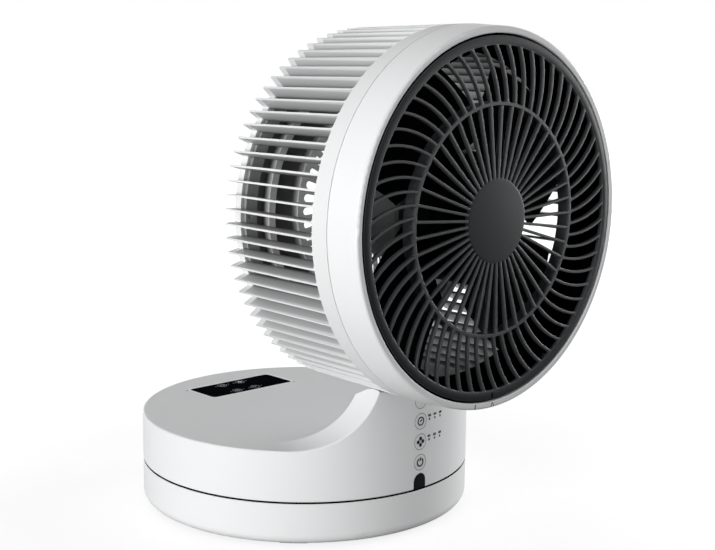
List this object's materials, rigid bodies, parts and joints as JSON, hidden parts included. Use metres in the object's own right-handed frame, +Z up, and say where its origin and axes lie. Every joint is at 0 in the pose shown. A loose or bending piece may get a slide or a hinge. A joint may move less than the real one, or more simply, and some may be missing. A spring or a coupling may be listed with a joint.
{
  "type": "air circulator fan",
  "caption": "Tabletop air circulator fan: drum-shaped tilting head with side fins and a swirl grille on a round turning base that holds a remote control.",
  "frame": {"origin": "on the floor under the base's turning axis", "axes": "+Z up, -Y the way the fan blows, +X to the fan's left as it faces you"},
  "size_m": [0.2448, 0.3047, 0.3456],
  "materials": {
    "white_shell": "satin white",
    "white_fins": "satin white",
    "white_cover": "satin white",
    "white_bezel": "semi-gloss white",
    "grille_grey": "satin dark grey",
    "impeller_grey": "satin near black",
    "duct_black": "matt black",
    "button_white": "semi-gloss white",
    "window_smoke": "dark gloss, lets infrared through",
    "light_pipe": "milky clear",
    "remote_black": "gloss black",
    "key_black": "satin black",
    "inner_plastic": "plain",
    "acetal": "natural acetal",
    "rubber": "matt black",
    "ballast": "plain cast",
    "screw_steel": "zinc plated",
    "shaft_steel": "ground",
    "motor_metal": "grey painted",
    "core_steel": "laminated",
    "board_green": "solder mask",
    "switch_black": "moulded",
    "cell_steel": "bright",
    "friction_pad": "fibre"
  },
  "bodies": {
    "base": {"lower_base_shell": "white_shell", "base_plate": "inner_plastic", "ballast_plate": "ballast", "base_screws": "screw_steel", "rubber_feet": "rubber", "power_board": "board_green", "cord_gland": "rubber", "pan_gear": "acetal", "slide_ring": "acetal", "pan_retainer": "screw_steel", "retainer_screws": "screw_steel"},
    "turntable": {"upper_base_shell": "white_shell", "turntable_plate": "inner_plastic", "turntable_screws": "screw_steel", "pan_motor": "motor_metal", "pan_motor_screws": "screw_steel", "control_board": "board_green", "tact_switches": "switch_black", "infrared_receiver": "switch_black", "infrared_window": "window_smoke", "light_pipes": "light_pipe", "tilt_pins": "shaft_steel", "friction_washers": "friction_pad"},
    "pinion": {"pan_pinion": "acetal", "pinion_shaft": "shaft_steel"},
    "power_button": {"power_button": "button_white"},
    "speed_button": {"speed_button": "button_white"},
    "timer_button": {"timer_button": "button_white"},
    "swing_button": {"swing_button": "button_white"},
    "remote": {"remote_case": "remote_black", "remote_back": "remote_black", "remote_board": "board_green", "battery_tray": "key_black", "coin_cell": "cell_steel"},
    "remote_key_power": {"remote_key_power": "key_black"},
    "remote_key_speed": {"remote_key_speed": "key_black"},
    "remote_key_timer": {"remote_key_timer": "key_black"},
    "remote_key_swing": {"remote_key_swing": "key_black"},
    "head": {"head_bezel": "white_bezel", "air_duct": "duct_black", "duct_screws": "screw_steel", "fin_cage": "white_fins", "rear_cover": "white_cover", "cover_screws": "screw_steel", "tilt_bracket": "white_shell", "bracket_screws": "screw_steel", "motor_front_cap": "motor_metal", "motor_rear_cap": "motor_metal", "motor_screws": "screw_steel", "stator": "core_steel", "motor_bearings": "shaft_steel"},
    "impeller": {"impeller": "impeller_grey", "impeller_nut": "impeller_grey", "motor_shaft": "shaft_steel", "rotor": "core_steel"},
    "grille": {"front_grille": "grille_grey", "grille_ring": "grille_grey", "grille_hooks": "grille_grey"}
  },
  "joints": [
    {"name": "pan", "type": "hinge", "parent": "base", "child": "turntable", "pos_m": [0, 0, 0.0423], "axis": [0, 0, 1], "range_deg": [-40, 40]},
    {"name": "pinion_spin", "type": "hinge", "parent": "turntable", "child": "pinion", "pos_m": [0.0375, 0, 0.033], "axis": [0, 0, 1], "range_deg": [-165, 165]},
    {"name": "tilt", "type": "hinge", "parent": "turntable", "child": "head", "pos_m": [0, -0.109, 0.092], "axis": [-1, 0, 0], "range_deg": [-5, 30]},
    {"name": "power_button_press", "type": "slide", "parent": "turntable", "child": "power_button", "axis": [0, 1, 0], "range_m": [0, 0.0006], "stiffness_N_per_m": 1500},
    {"name": "speed_button_press", "type": "slide", "parent": "turntable", "child": "speed_button", "axis": [0, 1, 0], "range_m": [0, 0.0006], "stiffness_N_per_m": 1500},
    {"name": "timer_button_press", "type": "slide", "parent": "turntable", "child": "timer_button", "axis": [0, 1, 0], "range_m": [0, 0.0006], "stiffness_N_per_m": 1500},
    {"name": "swing_button_press", "type": "slide", "parent": "turntable", "child": "swing_button", "axis": [0, 1, 0], "range_m": [0, 0.0006], "stiffness_N_per_m": 1500},
    {"name": "remote_lift", "type": "slide", "parent": "turntable", "child": "remote", "axis": [0, 0, 1], "range_m": [0, 0.12]},
    {"name": "remote_key_power_press", "type": "slide", "parent": "remote", "child": "remote_key_power", "axis": [0, 0, -1], "range_m": [0, 0.0004], "stiffness_N_per_m": 1500},
    {"name": "remote_key_speed_press", "type": "slide", "parent": "remote", "child": "remote_key_speed", "axis": [0, 0, -1], "range_m": [0, 0.0004], "stiffness_N_per_m": 1500},
    {"name": "remote_key_timer_press", "type": "slide", "parent": "remote", "child": "remote_key_timer", "axis": [0, 0, -1], "range_m": [0, 0.0004], "stiffness_N_per_m": 1500},
    {"name": "remote_key_swing_press", "type": "slide", "parent": "remote", "child": "remote_key_swing", "axis": [0, 0, -1], "range_m": [0, 0.0004], "stiffness_N_per_m": 1500},
    {"name": "impeller_spin", "type": "hinge", "parent": "head", "child": "impeller", "pos_m": [0, -0.15, 0.2232], "axis": [0, 1, 0], "continuous": true},
    {"name": "grille_twist", "type": "hinge", "parent": "head", "child": "grille", "pos_m": [0, -0.18, 0.2232], "axis": [0, 1, 0], "range_deg": [0, 8]}
  ],
  "couplings": [
    {"joint": "pinion_spin", "follows": "pan", "ratio": 4}
  ]
}
